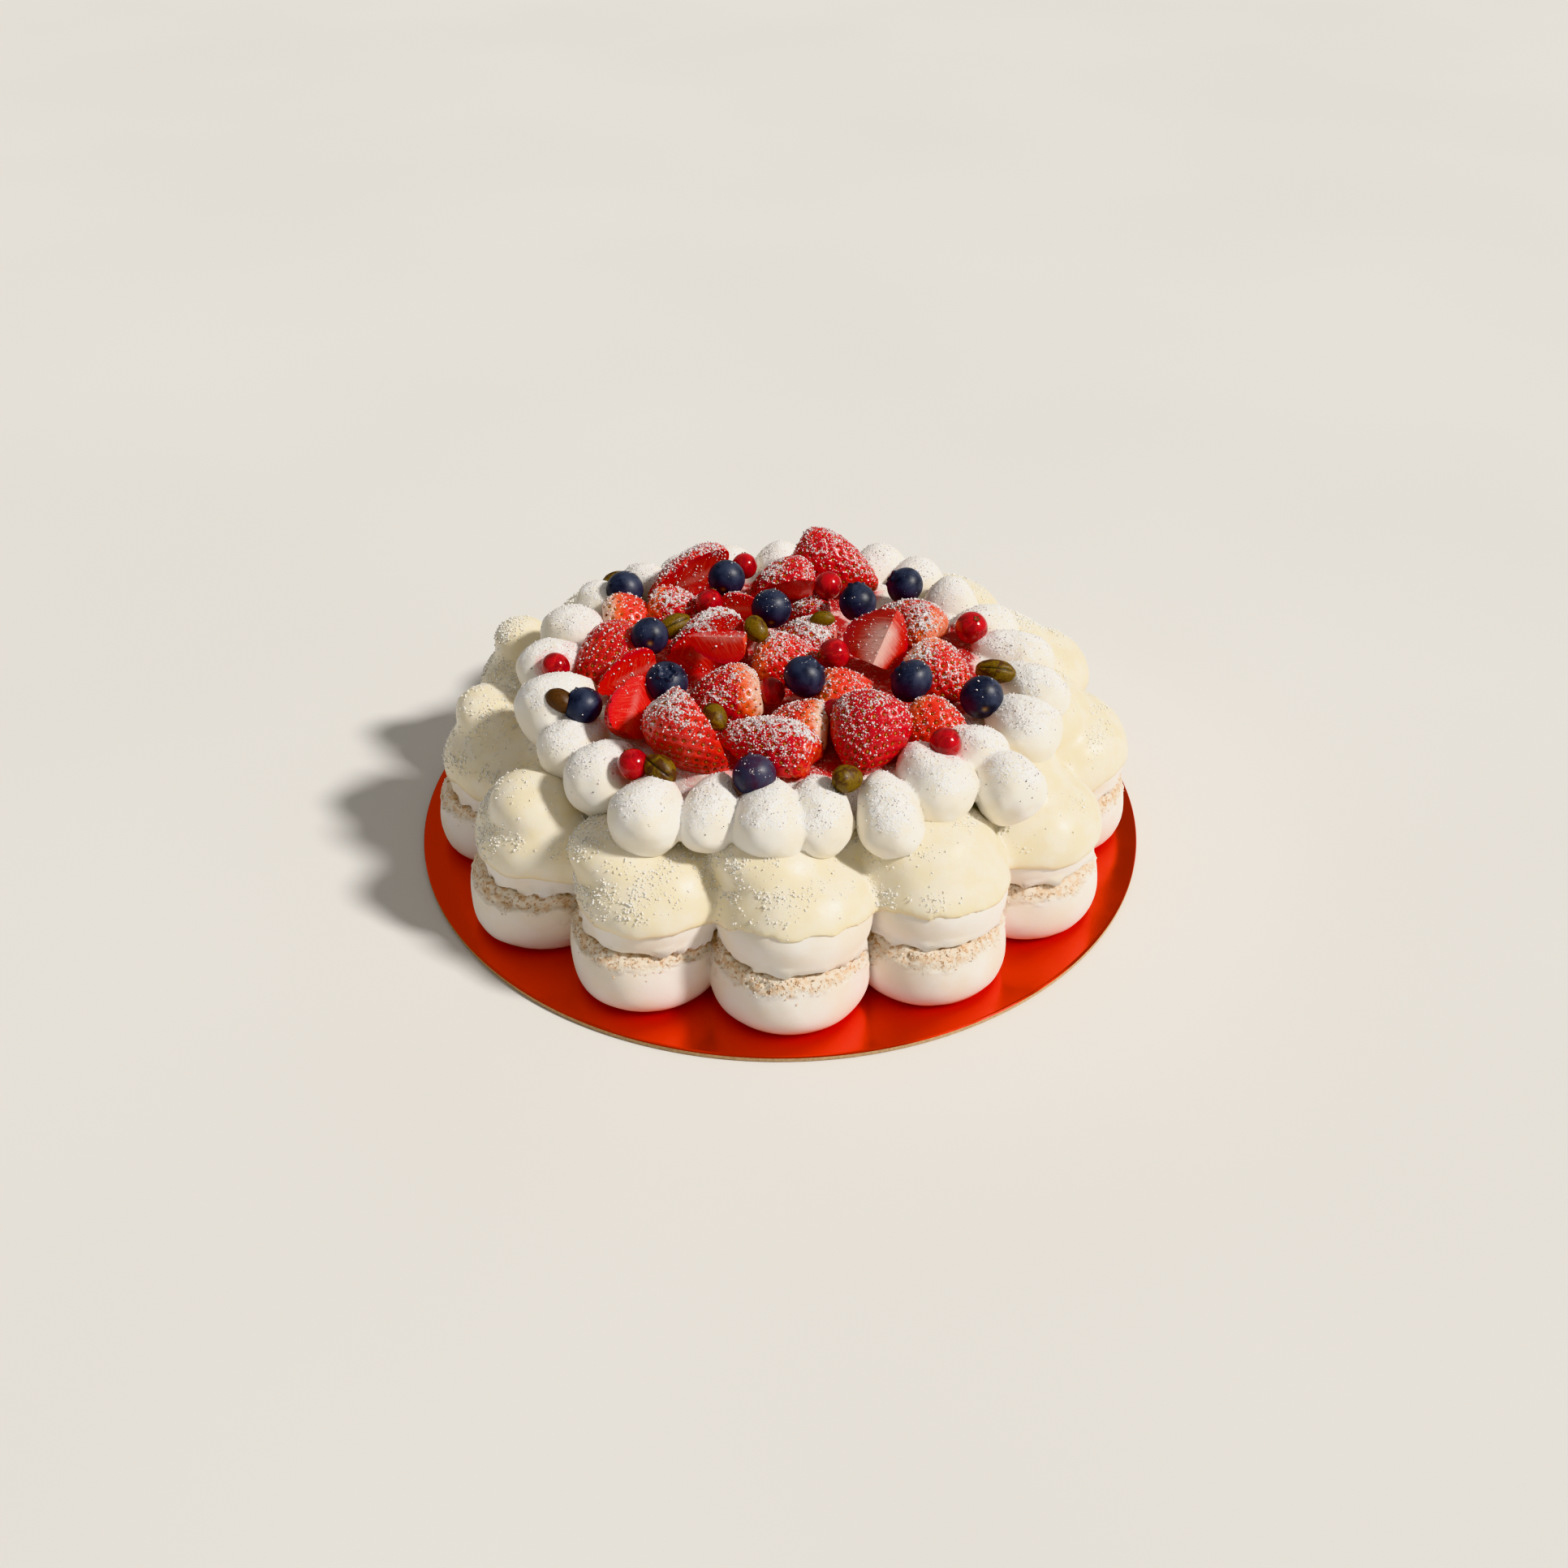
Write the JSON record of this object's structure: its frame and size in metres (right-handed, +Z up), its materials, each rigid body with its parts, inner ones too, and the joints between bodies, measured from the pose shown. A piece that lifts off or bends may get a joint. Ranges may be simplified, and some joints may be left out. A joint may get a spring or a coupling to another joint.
{
  "type": "pavlova",
  "caption": "Round pavlova of two lobed meringue tiers under a white chocolate coat, with a ring of piped cream, strawberries, blueberries, redcurrants and pistachios, on a red foil card.",
  "frame": {"origin": "the middle of the foil card's underside, on the surface the cake stands on", "axes": "+Z up; -Y towards the front, +X to the right as seen from the front"},
  "size_m": [0.26, 0.26, 0.093],
  "materials": {
    "foil_card": "glossy red metallic foil on thin card, with a bare kraft edge",
    "meringue": null,
    "white_chocolate": null,
    "cream": null,
    "blueberry": null,
    "redcurrant": null,
    "pistachio": null,
    "strawberry": null
  },
  "bodies": {
    "root": {"cake_board": "foil_card", "lower_meringue": "meringue", "upper_meringue": "white_chocolate", "whipped_cream": "cream", "blueberry_01": "blueberry", "blueberry_02": "blueberry", "blueberry_03": "blueberry", "blueberry_04": "blueberry", "blueberry_05": "blueberry", "blueberry_06": "blueberry", "blueberry_07": "blueberry", "blueberry_08": "blueberry", "blueberry_09": "blueberry", "blueberry_10": "blueberry", "blueberry_11": "blueberry", "blueberry_12": "blueberry", "redcurrant_01": "redcurrant", "redcurrant_02": "redcurrant", "redcurrant_03": "redcurrant", "redcurrant_04": "redcurrant", "redcurrant_05": "redcurrant", "redcurrant_06": "redcurrant", "redcurrant_07": "redcurrant", "redcurrant_08": "redcurrant", "redcurrant_09": "redcurrant", "redcurrant_10": "redcurrant", "pistachio_01": "pistachio", "pistachio_02": "pistachio", "pistachio_03": "pistachio", "pistachio_04": "pistachio", "pistachio_05": "pistachio", "pistachio_06": "pistachio", "pistachio_07": "pistachio", "pistachio_08": "pistachio", "pistachio_09": "pistachio", "strawberry_01": "strawberry", "strawberry_02": "strawberry", "strawberry_03": "strawberry", "strawberry_04": "strawberry", "strawberry_05": "strawberry", "strawberry_06": "strawberry", "strawberry_07": "strawberry", "strawberry_08": "strawberry", "strawberry_09": "strawberry", "strawberry_10": "strawberry", "strawberry_11": "strawberry", "strawberry_12": "strawberry", "strawberry_13": "strawberry", "strawberry_14": "strawberry", "strawberry_15": "strawberry", "strawberry_16": "strawberry", "strawberry_17": "strawberry", "strawberry_18": "strawberry", "strawberry_19": "strawberry", "strawberry_20": "strawberry", "strawberry_21": "strawberry", "strawberry_22": "strawberry", "strawberry_23": "strawberry", "strawberry_24": "strawberry"}
  },
  "joints": []
}
